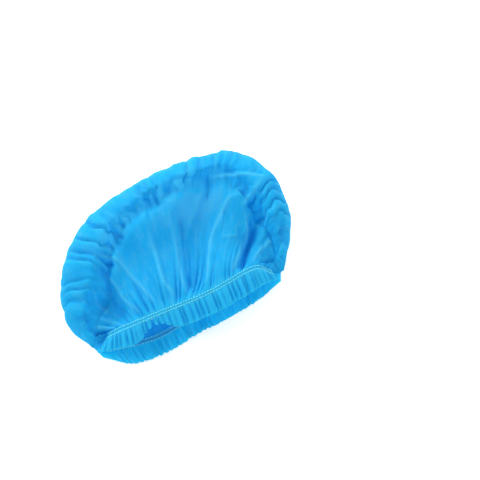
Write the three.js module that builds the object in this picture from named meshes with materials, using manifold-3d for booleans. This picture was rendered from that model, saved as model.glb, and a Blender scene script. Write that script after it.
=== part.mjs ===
// Disposable hairnet: an opened bouffant cap of spun-bonded nonwoven, lying on its side.
// Millimetres, +Z up. The mouth runs along X and faces -Y, and the lower layer lies flat on Z = 0.
// The sheet is one solid. It runs from the front hem over the front elastic, through a sunken top and a
// puffed rim, round to the floor, and back under the mouth to the back elastic and the back hem.
import * as THREE from "three";
import Module from "manifold-3d";

// Driving sizes
const WALL = 1.2; // thickness of the sheet
const BAND = 3; // half width of the strip along an elastic where the gathers are pressed flat
const PLEATS = 36; // gathers along each elastic
const WELD_PLEAT = 0.25; // share of the gathers' depth that is left at a weld
const PLEAT_REACH = 0.15; // distance from a weld, of half the mouth, where the gathers are full
const UNEVEN_DEPTH = 0.25; // share by which the shallowest gathers are flatter
const UNEVEN_TURN = 2.4; // radians of the wave of uneven depth from one mesh column to the next
const FOLD_FADE = 1.3; // stations over which a main fold fades at each of its two ends
const HEM_DROOP = 9; // how far the front ruffle hangs below its elastic
const HEM_DROOP_SHARE = 0.25; // most that it may hang, as a share of the elastic's height
const HEM_DROOP_BEND = 1.3; // above 1, the ruffle drops more steeply towards its edge
const HEM_FLARE = THREE.MathUtils.degToRad(20); // how far the ruffles fan outwards at the two welded ends
const FAN = 0.38; // share of a section's length that crosses the rim squarely
const RIM_STRIDE = 0.8; // sections ahead and behind that give the rim's run at a section
const SLIVER = 0.03; // smallest detail kept where a weld meets the sheet
const WELD_COLUMNS = [1, 2, 3]; // mesh columns, counted from each end, that the welded end fills
const ELASTIC_WIDTH = 5;
const ELASTIC_THICKNESS = 1;
const ELASTIC_GAP = 0.3; // clearance between an elastic and the gathers above it
const ELASTIC_INSET = 4; // mesh columns between an elastic's tip and the end of the cap

const table = (columns, rows) => rows.map((row) => Object.fromEntries(columns.map((c, i) => [c, row[i]])));

// Sections of the cap, from the left weld (at = -1) to the right weld (at = 1). Each runs from the mouth
// to the widest point of the rim. mouthX and mouthY: the front elastic; backY: the back elastic under it;
// rimX and rimY: the widest point; lip, crest and dish: heights of the front elastic, the rim and the
// sunken top; ridge: how far the top puffs up again before the rim; valley: share of the way out where
// the top meets the rim's inner wall; frontHem and backHem: widths of the two ruffles.
const SECTIONS = table(
  [
    "at", "mouthX", "mouthY", "backY", "rimX", "rimY", "lip", "crest", "dish", "ridge",
    "valley", "frontHem", "backHem",
  ],
  [
    [-1.0, -105, -2, -6, -120, 2, 10, 12, 9, 0.3, 0.4, 10, 9],
    [-0.8, -86, 4, -6, -132, 42, 21, 32, 16, 1, 0.46, 19, 22],
    [-0.6, -65, 2, -11, -112, 96, 30, 43, 19, 2, 0.54, 20, 22],
    [-0.4, -43, 1, -12, -69, 143, 35, 48, 21, 5, 0.69, 14, 21],
    [-0.2, -22, 0, -9, -7, 157, 38, 51, 23, 8, 0.79, 20, 21],
    [0.0, 0, 0, -5, 55, 162, 38, 52, 24, 9, 0.81, 22, 21],
    [0.2, 24, 1, -3, 113, 154, 38, 52, 23, 8, 0.77, 22, 21],
    [0.4, 47, 4, 0, 144, 114, 38, 49, 20, 5, 0.64, 22, 21],
    [0.6, 68, 8, 3, 147, 72, 36, 45, 18, 3, 0.56, 22, 21],
    [0.8, 86, 10, 5, 135, 37, 27, 33, 16, 1, 0.5, 18, 19],
    [1.0, 103, 1, -3, 117, 4, 10, 12, 9, 0.3, 0.4, 9, 9],
  ],
);

// Stations along the sheet of every section, from the front hem to the back hem. layer: 0 upper, 1 lower;
// hem: share of the ruffle's width, only in the ruffles; inner and outer: shares of the dish and of the
// rim passed on the way out; lip, dish, ridge and crest: how much of each height the sheet stands at;
// pleat: depth of the gathers; steps: mesh rows up to the next station.
const STATIONS = table(
  ["name", "layer", "hem", "inner", "outer", "lip", "dish", "ridge", "crest", "pleat", "steps"],
  [
    ["front_hem_edge", 0, 1, 0, 0, 1, 0, 0, 0, 2.2, 2],
    ["front_hem_middle", 0, 0.45, 0, 0, 1, 0, 0, 0, 1.7, 1],
    ["front_band_out", 0, 0, 0, 0, 1, 0, 0, 0, 0.35, 1],
    ["front_band_in", 0, null, 0, 0, 1, 0, 0, 0, 0.35, 2],
    ["front_slope", 0, null, 0.16, 0, 0.6, 0.4, 0, 0, 1.7, 2],
    ["dish_near", 0, null, 0.42, 0, 0.15, 0.85, 0, 0, 1.1, 2],
    ["dish_floor", 0, null, 0.66, 0, 0, 1, 0.15, 0, 0.7, 2],
    ["dish_ridge", 0, null, 0.89, 0, 0, 1, 1, 0, 0.8, 1],
    ["valley", 0, null, 1, 0.02, 0, 1, 0.25, 0, 1.2, 2],
    ["rim_inner", 0, null, 1, 0.24, 0, 0.5, 0, 0.5, 1.6, 3],
    ["rim_crest", 0, null, 1, 0.62, 0, 0, 0, 1, 1.6, 3],
    ["rim_outer", 0, null, 1, 0.93, 0, 0, 0, 0.8, 1.7, 1],
    ["rim_widest", 0, null, 1, 1, 0, 0, 0, 0.47, 1.5, 2],
    ["rim_under", 1, null, 1, 0.9, 0, 0, 0, 0.13, 0.6, 1],
    ["touch_down", 1, null, 1, 0.62, 0, 0, 0, 0, 0, 1],
    ["floor_far", 1, null, 0.85, 0, 0, 0, 0, 0, 0, 2],
    ["floor_near", 1, null, 0.3, 0, 0, 0, 0, 0, 0, 1],
    ["back_slope", 1, null, 0.1, 0, 0, 0, 0, 0, 0.6, 1],
    ["back_band_in", 1, null, 0, 0, 0, 0, 0, 0, 0.35, 1],
    ["back_band_out", 1, 0, 0, 0, 0, 0, 0, 0, 0.35, 1],
    ["back_hem_middle", 1, 0.45, 0, 0, 0, 0, 0, 0, 1.2, 2],
    ["back_hem_edge", 1, 1, 0, 0, 0, 0, 0, 0, 1.6, 0],
  ],
);

// Main folds and dents. at: place along the mouth; width: half width there; from and to: the stations
// it fades out at; rise: height, negative for a dent.
const FOLDS = table(
  ["name", "at", "width", "from", "to", "rise"],
  [
    ["left_pocket", -0.68, 0.16, "front_band_in", "rim_crest", -5.5],
    ["left_rim_ridge", -0.6, 0.08, "dish_ridge", "rim_widest", 3.5],
    ["left_leaf", -0.48, 0.09, "front_band_in", "valley", 4],
    ["far_left_crease", -0.37, 0.07, "dish_floor", "rim_crest", -4],
    ["middle_leaf", -0.23, 0.09, "front_band_in", "valley", 4.5],
    ["far_crease", -0.16, 0.06, "dish_floor", "rim_crest", -4],
    ["middle_trough", 0.02, 0.12, "front_band_in", "valley", -4],
    ["far_right_crease", 0.1, 0.06, "dish_floor", "rim_crest", -4],
    ["right_facet", 0.25, 0.16, "front_band_in", "rim_inner", 7],
    ["right_trough", 0.5, 0.1, "front_band_in", "rim_inner", -6],
    ["right_rim_ridge", 0.68, 0.07, "dish_near", "rim_widest", 3],
  ],
);

const stationIndex = (name) => STATIONS.findIndex((station) => station.name === name);
const fade = (x) => THREE.MathUtils.smoothstep(x, 0, FOLD_FADE);
const gatherAt = (at) =>
  WELD_PLEAT + (1 - WELD_PLEAT) * THREE.MathUtils.smoothstep(1 - Math.abs(at), 0, PLEAT_REACH);
const bump = (x) => (Math.abs(x) < 1 ? Math.cos((x * Math.PI) / 2) ** 2 : 0);

// The smooth curve through values that stand at whole numbers, read at t; its ends run straight out.
function throughValues(values, t) {
  const last = values.length - 1;
  const i = THREE.MathUtils.clamp(Math.floor(t), 0, last - 1);
  const share = t - i;
  const before = i > 0 ? values[i - 1] : 2 * values[0] - values[1];
  const after = i + 2 <= last ? values[i + 2] : 2 * values[last] - values[last - 1];
  const slopeStart = (values[i + 1] - before) / 2;
  const slopeEnd = (after - values[i]) / 2;
  const rise = values[i + 1] - values[i];
  const bend = 3 * rise - 2 * slopeStart - slopeEnd;
  const twist = slopeStart + slopeEnd - 2 * rise;
  return values[i] + share * (slopeStart + share * (bend + share * twist));
}

const columnAt = (rows, column, t) => throughValues(rows.map((row) => row[column]), t);

// One section of the cap at a place along the mouth, with every column of the table blended.
function sectionAt(at) {
  const index = ((at + 1) / 2) * (SECTIONS.length - 1);
  const columns = Object.keys(SECTIONS[0]);
  const section = Object.fromEntries(columns.map((c) => [c, columnAt(SECTIONS, c, index)]));
  const alongRim = ["rimX", "rimY"].map(
    (c) => columnAt(SECTIONS, c, index + RIM_STRIDE) - columnAt(SECTIONS, c, index - RIM_STRIDE),
  );
  section.outward = new THREE.Vector2(-alongRim[1], alongRim[0]).normalize();
  const flare = HEM_FLARE * at ** 3;
  section.hemWay = new THREE.Vector2(Math.sin(flare), -Math.cos(flare));
  return section;
}

// The point of the smooth sheet at one station of a section. In a ruffle it runs straight out past the
// elastic. Elsewhere it follows a plan curve that leaves the mouth and crosses the rim squarely.
function stationPoint(section, station) {
  const plan = new THREE.Vector2(section.mouthX, station.layer ? section.backY : section.mouthY);
  const heights = ["lip", "dish", "ridge", "crest"];
  const height = heights.reduce((sum, column) => sum + station[column] * section[column], 0);
  const lift = station.pleat * gatherAt(section.at);
  if (station.hem !== null) {
    const width = station.layer ? section.backHem : section.frontHem;
    plan.addScaledVector(section.hemWay, BAND + station.hem * (width - BAND));
    const most = Math.min(HEM_DROOP, section.lip * HEM_DROOP_SHARE);
    const droop = most * station.hem ** HEM_DROOP_BEND;
    return new THREE.Vector3(plan.x, plan.y, station.layer ? lift : height - droop);
  }
  const start = plan.addScaledVector(section.hemWay, -BAND);
  const rim = new THREE.Vector2(section.rimX, section.rimY);
  const turn = rim.clone().addScaledVector(section.outward, -FAN * start.distanceTo(rim));
  const share = section.valley * station.inner + (1 - section.valley) * station.outer;
  const spot = new THREE.QuadraticBezierCurve(start, turn, rim).getPoint(share);
  return new THREE.Vector3(spot.x, spot.y, station.layer ? Math.max(height, lift) : height);
}

// How far the main folds lift the sheet at a place along the mouth and a station index.
function foldRise(at, t) {
  let rise = 0;
  for (const fold of FOLDS) {
    const strength = fade(t - stationIndex(fold.from)) * fade(stationIndex(fold.to) - t);
    rise += fold.rise * strength * bump((at - fold.at) / fold.width);
  }
  return rise;
}

// Mesh rows as station indexes, with the steps that each station asks for.
const ROWS = STATIONS.flatMap(({ steps }, i) => Array.from({ length: steps }, (_, k) => i + k / steps));
ROWS.push(STATIONS.length - 1);
const COLUMNS = 2 * PLEATS + 1;
const PLACES = Array.from({ length: COLUMNS }, (_, c) => -1 + (2 * c) / (COLUMNS - 1));

// The smooth sheet as a grid of points [column][row], and its outward directions.
function smoothSheet() {
  const points = PLACES.map((at) => {
    const section = sectionAt(at);
    const spots = STATIONS.map((station) => stationPoint(section, station));
    const read = (axis, t) => columnAt(spots, axis, t);
    return ROWS.map((t) => new THREE.Vector3(read("x", t), read("y", t), Math.max(0, read("z", t))));
  });
  const around = (list, i) => [list[Math.max(i - 1, 0)], list[Math.min(i + 1, list.length - 1)]];
  const normals = points.map((column, c) => {
    const [left, right] = around(points, c);
    return column.map((_, r) => {
      const [before, after] = around(column, r);
      return right[r].clone().sub(left[r]).cross(after.clone().sub(before)).normalize();
    });
  });
  return { points, normals };
}

// The two faces of the sheet as grids of points. Columns alternate between the top and the bottom of a
// gather, so that the mesh itself is pleated, and nothing passes below the floor.
function pleatedFaces({ points, normals }) {
  const outside = points.map((column, c) =>
    column.map((point, r) => {
      const depth = Math.max(0, columnAt(STATIONS, "pleat", ROWS[r]));
      const uneven = Math.min(1, 1 + UNEVEN_DEPTH * Math.sin(UNEVEN_TURN * c));
      const gather = (c % 2 ? -1 : 1) * depth * uneven * gatherAt(PLACES[c]);
      const face = point.clone().addScaledVector(normals[c][r], gather + foldRise(PLACES[c], ROWS[r]));
      return face.setZ(Math.max(0, face.z));
    }),
  );
  const inside = outside.map((column, c) =>
    column.map((point, r) => point.clone().addScaledVector(normals[c][r], -WALL)),
  );
  return { outside, inside };
}

const wasm = await Module();
wasm.setup();

// A closed solid from points and triangles, turned right side out.
function toSolid(points, faces) {
  const vertProperties = new Float32Array(points.flatMap((p) => [p.x, p.y, p.z]));
  const mesh = (order) => new wasm.Mesh({ numProp: 3, vertProperties, triVerts: new Uint32Array(order) });
  const solid = new wasm.Manifold(mesh(faces));
  return solid.volume() > 0 ? solid : new wasm.Manifold(mesh([...faces].reverse()));
}

// A closed solid between two grids of points of the same size.
function solidBetween(outside, inside) {
  const rows = outside[0].length;
  const last = outside.length - 1;
  const faces = [];
  const quad = (a, b, c, d) => faces.push(a, b, c, a, c, d);
  const out = (c, r) => c * rows + r;
  const inn = (c, r) => outside.length * rows + c * rows + r;
  for (let c = 0; c < last; c++) {
    for (let r = 0; r < rows - 1; r++) {
      quad(out(c, r), out(c + 1, r), out(c + 1, r + 1), out(c, r + 1));
      quad(inn(c, r), inn(c, r + 1), inn(c + 1, r + 1), inn(c + 1, r));
    }
    quad(out(c, 0), inn(c, 0), inn(c + 1, 0), out(c + 1, 0));
    quad(out(c, rows - 1), out(c + 1, rows - 1), inn(c + 1, rows - 1), inn(c, rows - 1));
  }
  for (let r = 0; r < rows - 1; r++) {
    quad(out(0, r), out(0, r + 1), inn(0, r + 1), inn(0, r));
    quad(out(last, r), inn(last, r), inn(last, r + 1), out(last, r + 1));
  }
  return toSolid([...outside.flat(), ...inside.flat()], faces);
}

// The welded end of the cap: the space between the upper and lower layers, filled over a few columns.
// Its rings follow the middle of the sheet. The two end rings are closed with triangles laced between
// the upper layer, i counting up from the front hem, and the lower layer, j counting down from the back.
function endWeld({ outside, inside }, columns) {
  const rings = columns.map((c) => outside[c].map((point, r) => point.clone().lerp(inside[c][r], 0.5)));
  const count = ROWS.length;
  const far = count * (rings.length - 1);
  const turn = ROWS.indexOf(stationIndex("rim_widest"));
  const faces = [];
  let i = 0;
  let j = count - 1;
  while (j - i > 1) {
    const upperNext = (i + 1) / turn <= (count - j) / (count - 1 - turn);
    const tip = upperNext ? i + 1 : j - 1;
    faces.push(i, tip, j, far + i, far + j, far + tip);
    if (upperNext) i = tip;
    else j = tip;
  }
  for (let k = 0; k < far; k++) {
    const next = k % count === count - 1 ? k + 1 - count : k + 1;
    faces.push(next, k, count + next, k, count + k, count + next);
  }
  return toSolid(rings.flat(), faces);
}

// A flat elastic on the inner face of the sheet, along the middle of one gathered band.
function elasticSolid({ points, normals }, bandOut, bandIn) {
  const rowOut = ROWS.indexOf(stationIndex(bandOut));
  const rowIn = ROWS.indexOf(stationIndex(bandIn));
  const below = WALL + STATIONS[stationIndex(bandIn)].pleat + ELASTIC_GAP;
  const edge = 0.5 - ELASTIC_WIDTH / (4 * BAND);
  const near = [];
  const far = [];
  for (let c = ELASTIC_INSET; c <= COLUMNS - 1 - ELASTIC_INSET; c += 2) {
    const away = normals[c][rowOut].clone().add(normals[c][rowIn]).normalize();
    const line = [edge, 1 - edge].map((share) => points[c][rowOut].clone().lerp(points[c][rowIn], share));
    near.push(line.map((p) => p.clone().addScaledVector(away, -below)));
    far.push(line.map((p) => p.clone().addScaledVector(away, -below - ELASTIC_THICKNESS)));
  }
  return solidBetween(near, far);
}

const sheet = smoothSheet();
const sheetFaces = pleatedFaces(sheet);
const rightColumns = WELD_COLUMNS.map((c) => COLUMNS - 1 - c).reverse();
const joined = solidBetween(sheetFaces.outside, sheetFaces.inside)
  .add(endWeld(sheetFaces, WELD_COLUMNS))
  .add(endWeld(sheetFaces, rightColumns));
// Slivers are cleared and only the outer shell is kept, so that specks of air caught between a weld and
// the sheet are filled.
const crownSolid = joined
  .simplify(SLIVER)
  .decompose()
  .reduce((a, b) => (a.volume() > b.volume() ? a : b));

const nonwoven = new THREE.MeshStandardMaterial({ color: 0x1fa5ea, roughness: 0.85, metalness: 0 });
const rubber = new THREE.MeshStandardMaterial({ color: 0x298cd6, roughness: 0.7, metalness: 0 });

function piece(name, solid, material) {
  const { vertProperties, triVerts } = solid.getMesh();
  const geometry = new THREE.BufferGeometry();
  geometry.setAttribute("position", new THREE.BufferAttribute(new Float32Array(vertProperties), 3));
  geometry.setIndex(new THREE.BufferAttribute(new Uint32Array(triVerts), 1));
  geometry.computeVertexNormals();
  const mesh = new THREE.Mesh(geometry, material);
  mesh.name = name;
  return mesh;
}

// The cap's own frame: the middle of its footprint is at X = Y = 0, and it lies on Z = 0.
const cap = new THREE.Group();
cap.add(
  piece("crown", crownSolid, nonwoven),
  piece("front_elastic", elasticSolid(sheet, "front_band_out", "front_band_in"), rubber),
  piece("back_elastic", elasticSolid(sheet, "back_band_out", "back_band_in"), rubber.clone()),
);
const middle = new THREE.Box3().setFromObject(cap).getCenter(new THREE.Vector3());
for (const mesh of cap.children) mesh.position.set(-middle.x, -middle.y, 0);

export default cap;
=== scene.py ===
"""Opened disposable hair cap of blue nonwoven, lying on its lower layer on a pale floor.

The cap is one sheet: front hem, front band, dished top, puffed rim, floor, back band, back hem.
Sizes are in millimetres and become metres where a mesh is made. Along the mouth a place is
given from -1, the left weld, to 1, the right weld. Through the sheet it is given by the row,
the number of a station in STATIONS, with parts of a row between two stations. A span of rows
or places is four numbers: where something begins, is full, starts to fade and ends. A span of
two numbers only begins and is full.
"""

import bpy
import numpy as np
from mathutils import Matrix


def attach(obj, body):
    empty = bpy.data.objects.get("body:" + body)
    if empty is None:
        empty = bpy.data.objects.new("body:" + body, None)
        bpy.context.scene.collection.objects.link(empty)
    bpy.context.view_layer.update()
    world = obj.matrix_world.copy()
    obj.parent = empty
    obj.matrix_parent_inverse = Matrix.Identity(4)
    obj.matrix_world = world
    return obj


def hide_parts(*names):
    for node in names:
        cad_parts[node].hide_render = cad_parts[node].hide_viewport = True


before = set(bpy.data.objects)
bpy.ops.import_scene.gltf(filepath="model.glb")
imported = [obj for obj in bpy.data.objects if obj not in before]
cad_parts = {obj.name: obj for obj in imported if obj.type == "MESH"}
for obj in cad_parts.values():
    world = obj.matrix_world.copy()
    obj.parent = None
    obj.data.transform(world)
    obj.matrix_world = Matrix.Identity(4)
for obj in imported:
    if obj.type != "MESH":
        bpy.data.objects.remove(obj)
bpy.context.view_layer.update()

MM = 0.001
# Least length that a direction is worked out from.
SHORTEST = 1e-9
# Middle of the cap's footprint as it is drawn here, which is the origin of the frame.
MIDDLE = np.array([8.0396, 64.8738, 0.0])

# The sheet: its cloth, its net, the bands that the elastics draw in, and the welded ends.
SHEET_THICKNESS = 0.3
COLUMNS = 361
HALF_BAND = 3.0
FRONT_BAND_ROW = 2.5
BACK_BAND_ROW = 18.5
CINCH = 0.9
CINCH_ROWS = 0.75
FLOOR_GAP = 0.05
WELD_REACH = 0.06
LOWER_WELD_REACH = 0.22
WELD_HEIGHT = 5.0
WELD_LAYER = 0.7

# The hems: how they droop and turn, and the arch of the front hem over the gap of the mouth.
HEM_DROOP = 9.0
DROOP_SHARE = 0.25
DROOP_BEND = 1.3
FRONT_FLARE = np.radians(45.0)
FLARE_BEND = 4
BACK_TUCK = np.radians(22.0)
TUCK_BEND = 3
ARCH_AT = -0.40
ARCH_HALF_WIDTH = 0.16
ARCH_RISE = 15.0
ARCH_BEND = 2.5

# The top: how far its lines bend towards the rim, and the stride that gives the rim's direction.
FAN = 0.38
RIM_STRIDE = 0.8

# Gathers: panels with grooves between them, shallow at the welds and on the kite-shaped facet.
PLEATS = 36
PLEAT_SEED = 3
PLEAT_SHIFT = 0.28
GROOVE_DEPTHS = (0.45, 0.8, 1.0, 1.3)
GROOVE_WIDTHS = (1.0, 1.7)
GROOVE_SHARE = 1.3
PANEL_SHARE = 0.4
PANEL_TILT = 0.5
TILT_SHARE = 0.8
WELD_GATHER = 0.25
WELD_GATHER_REACH = 0.15
KITE_AT = 0.33
KITE_HALF_WIDTH = 0.16
KITE_SQUARENESS = 4
KITE_FLATNESS = 0.7
KITE_ROWS = (3.1, 3.8)

# Folds and creases: the rows over which a fold fades, the rounding of a crease, the width of
# the painted highlight on a ridge and the rise that makes it full, and the spans along a crease.
FOLD_FADE = 1.3
CREASE_ROUNDING = 0.2
RIDGE_HIGHLIGHT_WIDTH = 2.2
RIDGE_HIGHLIGHT_RISE = 3.0
CREASE_SPAN = (-0.05, 0.15, 0.70, 1.05)
CROSS_SPAN = (-0.05, 0.20, 0.80, 1.05)

# Noise: its net, then the slow noise that bends the wrinkles and the one that varies them.
NOISE_KNOTS = 64
NOISE_GAIN = 1.5
BEND_REACH = 0.03
BEND_PER_MOUTH = 5.0
BEND_START = 3.7
BEND_PER_ROW = 0.9
BEND_SEED = 51
WRINKLE_FOOT = 0.45
UNEVEN_MEAN = 0.7
UNEVEN_SWING = 0.6
UNEVEN_PER_MOUTH = 3.0
UNEVEN_PER_ROW = 0.5
UNEVEN_SEED_STEP = 20

# Shades of the cloth: where it is thin; painted shade in crimps, creases and grooves, near the mouth
# and inside it; painted light on the inner side of the far rim; and the hems, which get painted
# light.
THIN_AT = 0.02
THIN_HALF_WIDTH = 0.16
THIN_ROW = 6.7
THIN_ROWS = 0.75
CRIMP_ROWS = (7.4, 8.6)
CRIMP_DEPTHS = (-0.5, 4.2)
CREASE_DEPTHS = (0.4, 4.0)
CREASE_PAINTED_SHADE = 0.9
# Painted light on the inner side of the far rim: its rows, places, paleness and the painted shade it
# clears.
LIT_ROWS = (7.5, 8.4, 9.2, 10.4)
LIT_PLACES = (-0.58, -0.42, 0.05, 0.30)
LIT_PALENESS = 0.8
LIT_CLEARING = 0.4
MOUTH_SHADE_ROWS = (3.0, 3.5, 4.0, 7.5)
MOUTH_PAINTED_SHADE = 0.5
GROOVE_SHADE_DEPTHS = (0.2, 1.5)
GROOVE_PAINTED_SHADE = 1.2
INSIDE_ROWS = (14.0, 15.5, 17.7, 18.3)
INSIDE_PAINTED_SHADE = 1.6
HEM_FADE = 0.3
BACK_HEM_SHARE = 0.3

# Elastics: a flat ribbed strip on the inner face of each band, with a ripple along it.
ELASTIC_WIDTH = 5.0
ELASTIC_TOP = 1.85
ELASTIC_THICKNESS = 1.0
ELASTIC_SQUARENESS = 8
ELASTIC_RIBS = 5
ELASTIC_RIB_DEPTH = 0.18
ELASTIC_RIPPLES = 3 * PLEATS
ELASTIC_RIPPLE_DEPTH = 0.06
ELASTIC_END = 0.955
ELASTIC_STEPS = 420
ELASTIC_SIDE_STEPS = 31

# Stitches: their bars, then how they stand in a row. Steps are parts of the way between two.
STITCH_LENGTH = 2.9
STITCH_FIT = 1.02
STITCH_LENGTHS = (0.85, 1.05)
STITCH_WIDTH = 1.0
STITCH_RINGS = 7
STITCH_SIDES = 6
STITCH_THINNING = 0.9
STITCH_ROUNDNESS = 6
STITCH_BOW = 0.22
STITCH_SEAT = 0.16
STITCH_SLEW = 0.12
STITCH_SEED = 40
STITCH_COUNT = 70
STITCH_END = 0.95
STITCH_STEPS = 8
STITCH_HALF_STEPS = 3
STITCH_STAGGER = 3
STITCH_ROW_STEP = 0.06
# Rows of stitches: the distance from the middle of the band, in rows, and whether they lie on
# the elastic's inner face.
FRONT_SEAM = ((-0.38, False), (0.34, False), (-0.36, True), (0.36, True))
BACK_SEAM = ((-0.36, True), (0.36, True))

# Finish of the cloth: red, green and blue, and how much of each shade is mixed in.
CLOTH_SHADES = (
    (0.3, (0.130, 0.780, 0.955)),
    (0.5, (0.034, 0.725, 0.945)),
    (0.7, (0.010, 0.650, 0.930)),
)
# Painted shade: the deeper blue of crimps, creases, gather grooves, the cloth near the mouth and
# inside it.
PAINTED_SHADE_COLOUR = (0.004, 0.46, 0.84, 1.0)
PAINTED_SHADE_SHARE = 0.36
# Painted highlight along ridges, and painted light on the inner side of the far rim.
PAINTED_HIGHLIGHT_COLOUR = (0.20, 0.88, 1.0, 1.0)
PAINTED_HIGHLIGHT_SHARE = 0.65
# Painted light: the hems are tinted a brighter blue.
HEM_PAINTED_LIGHT_COLOUR = (0.06, 0.80, 1.0, 1.0)
HEM_PAINTED_LIGHT_SHARE = 0.7
LIGHT_THROUGH = 0.62
HEM_CLOSING = -0.6
FIBRE_SHARES = (0.6, 0.4)
DENSE_SHARES = (0.55, 0.45)
THIN_SHARE = 0.22
BONDS_ACROSS = 265.0
BONDS_ALONG = 228.0
BOND_SINK = 0.35

# Noise of the finishes: how often it repeats over the piece's map, its detail and roughness.
CLOUDS = ((52.0, 20.0, 1.0), 3.0, 0.55)
LONG_FIBRES = ((700.0, 130.0, 1.0), 3.0, 0.6)
SLANT_FIBRES = ((420.0, 330.0, 1.0), 2.0, 0.6)
COVER_THREADS = ((420.0, 26.0, 1.0), 2.0, 0.55)
COVER_CLOUDS = ((18.0, 3.0, 1.0), 3.0, 0.5)

# Finish of the elastics' cover, whose blue is partly painted shade of the mouth, and of the sewing
# thread.
COVER_SHARES = (0.6, 0.4)
# Painted shade: the cover's blues are deepened for the shade in the mouth.
COVER_BLUES_AND_PAINTED_SHADE = ((0.3, (0.014, 0.38, 0.74)), (0.7, (0.06, 0.54, 0.88)))
THREAD_SHADES = ((0.2, (0.13, 0.82, 1.0)), (0.8, (0.27, 0.96, 1.0)))
THREAD_SLANT = (0.4, 0.3, 0.6)

# Camera, floor and lights, in metres. A light has a name, a spot, a side and a power in watts.
LOOK_AT = (0.07625, -0.00463, 0.0)
CAMERA_DISTANCE = 1.2
CAMERA_AZIMUTH = np.radians(-23.3)
CAMERA_ELEVATION = np.radians(65.0)
CAMERA_REACH = 50.0
FRAME_WIDTH = 0.5472
SENSOR = 36.0
FLOOR_REACH = 20.0
FLOOR_GLOW = 0.45
SKY_GLOW = 0.19
LIGHTS = (
    ("left_light", (-0.85, 0.55, 0.75), 0.7, 9.0),
    ("near_light", (-0.20, -1.10, 0.50), 0.9, 7.5),
    ("right_light", (1.05, 0.30, 0.60), 0.8, 7.5),
    ("far_light", (0.10, 1.10, 0.66), 0.7, 12.5),
)


def table(columns, rows):
    """The rows as arrays, one under each column's name."""
    return {name: np.array(values) for name, values in zip(columns, zip(*rows))}


# The cap at eleven places along the mouth: the mouth's two edges and the rim in plan, the heights
# of lip, crest, dish and ridge, the share of the way to the rim where the valley lies, and the
# widths of the two hems.
SECTIONS = table(
    ("at", "mouth_x", "mouth_y", "back_x", "back_y", "rim_x", "rim_y", "lip", "crest", "dish",
     "ridge", "valley", "front_hem", "back_hem"),
    (
        (-1.0, -99, 7, -111, -3, -115, 3, 9, 11, 8, 0.3, 0.40, 17, 10),
        (-0.8, -84, 5, -88, -7, -131, 42, 21, 28, 12, 1, 0.33, 19, 22),
        (-0.6, -65, 2, -65, -11, -113, 98, 30, 38, 13, 2, 0.38, 22, 22),
        (-0.4, -43, 1, -43, -12, -70, 144, 35, 43, 17, 12, 0.59, 23, 21),
        (-0.2, -22, 0, -22, -9, -8, 163, 38, 45, 19, 15.5, 0.69, 22, 21),
        (0.0, 0, 0, 0, -5, 55, 169, 38, 46, 19, 15, 0.71, 22, 21),
        (0.2, 24, 1, 24, -3, 115, 161, 38, 46, 19, 14, 0.69, 22, 21),
        (0.4, 47, 4, 47, 0, 147, 119, 38, 44, 17, 9, 0.60, 22, 21),
        (0.6, 68, 8, 68, 3, 150, 75, 36, 40, 15, 4, 0.53, 22, 21),
        (0.8, 86, 10, 86, 5, 137, 38, 27, 30, 14, 1, 0.48, 18, 19),
        (1.0, 104, 1, 108, 0, 113, 4, 9, 11, 8, 0.3, 0.40, 5, 7),
    ),
)

# Stations from hem to hem: upper layer 0 or lower layer 1, the share of the hem's width or NONE,
# the shares of the way from band to valley and from valley to rim, the shares of each height,
# the least height that pleats give the lower layer, and the rows up to the next station.
NONE = np.nan
STATIONS = table(
    ("name", "layer", "hem", "inner", "outer", "lip", "dish", "ridge", "crest", "lift", "rows"),
    (
        ("front_hem_edge", 0, 1.0, 0, 0, 1, 0, 0, 0, 0, 4),
        ("front_hem_middle", 0, 0.45, 0, 0, 1, 0, 0, 0, 0, 4),
        ("front_band_out", 0, 0.0, 0, 0, 1, 0, 0, 0, 0, 3),
        ("front_band_in", 0, NONE, 0, 0, 1, 0, 0, 0, 0, 11),
        ("front_slope", 0, NONE, 0.16, 0, 0.6, 0.4, 0, 0, 0, 14),
        ("dish_near", 0, NONE, 0.42, 0, 0.15, 0.85, 0, 0, 0, 14),
        ("dish_floor", 0, NONE, 0.66, 0, 0, 1, 0.25, 0, 0, 12),
        ("dish_ridge", 0, NONE, 0.89, 0, 0, 1, 1, 0, 0, 7),
        ("valley", 0, NONE, 1, 0.02, 0, 1, 1.05, 0, 0, 7),
        ("rim_inner", 0, NONE, 1, 0.16, 0, 0.36, 0.36, 0.63, 0, 9),
        ("rim_crest", 0, NONE, 1, 0.35, 0, 0, 0, 1, 0, 8),
        ("rim_outer", 0, NONE, 1, 0.75, 0, 0, 0, 0.84, 0, 4),
        ("rim_widest", 0, NONE, 1, 1, 0, 0, 0, 0.42, 0, 5),
        ("rim_under", 1, NONE, 1, 0.92, 0, 0, 0, 0.12, 0.6, 4),
        ("touch_down", 1, NONE, 1, 0.62, 0, 0, 0, 0, 0, 4),
        ("floor_far", 1, NONE, 0.85, 0, 0, 0, 0, 0, 0, 5),
        ("floor_near", 1, NONE, 0.3, 0, 0, 0, 0, 0, 0, 4),
        ("back_slope", 1, NONE, 0.1, 0, 0, 0, 0, 0, 0.6, 4),
        ("back_band_in", 1, NONE, 0, 0, 0, 0, 0, 0, 0.35, 3),
        ("back_band_out", 1, 0.0, 0, 0, 0, 0, 0, 0, 0.35, 4),
        ("back_hem_middle", 1, 0.45, 0, 0, 0, 0, 0, 0, 1.2, 4),
        ("back_hem_edge", 1, 1.0, 0, 0, 0, 0, 0, 0, 1.6, 0),
    ),
)
ROW = {str(name): row for row, name in enumerate(STATIONS["name"])}

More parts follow.
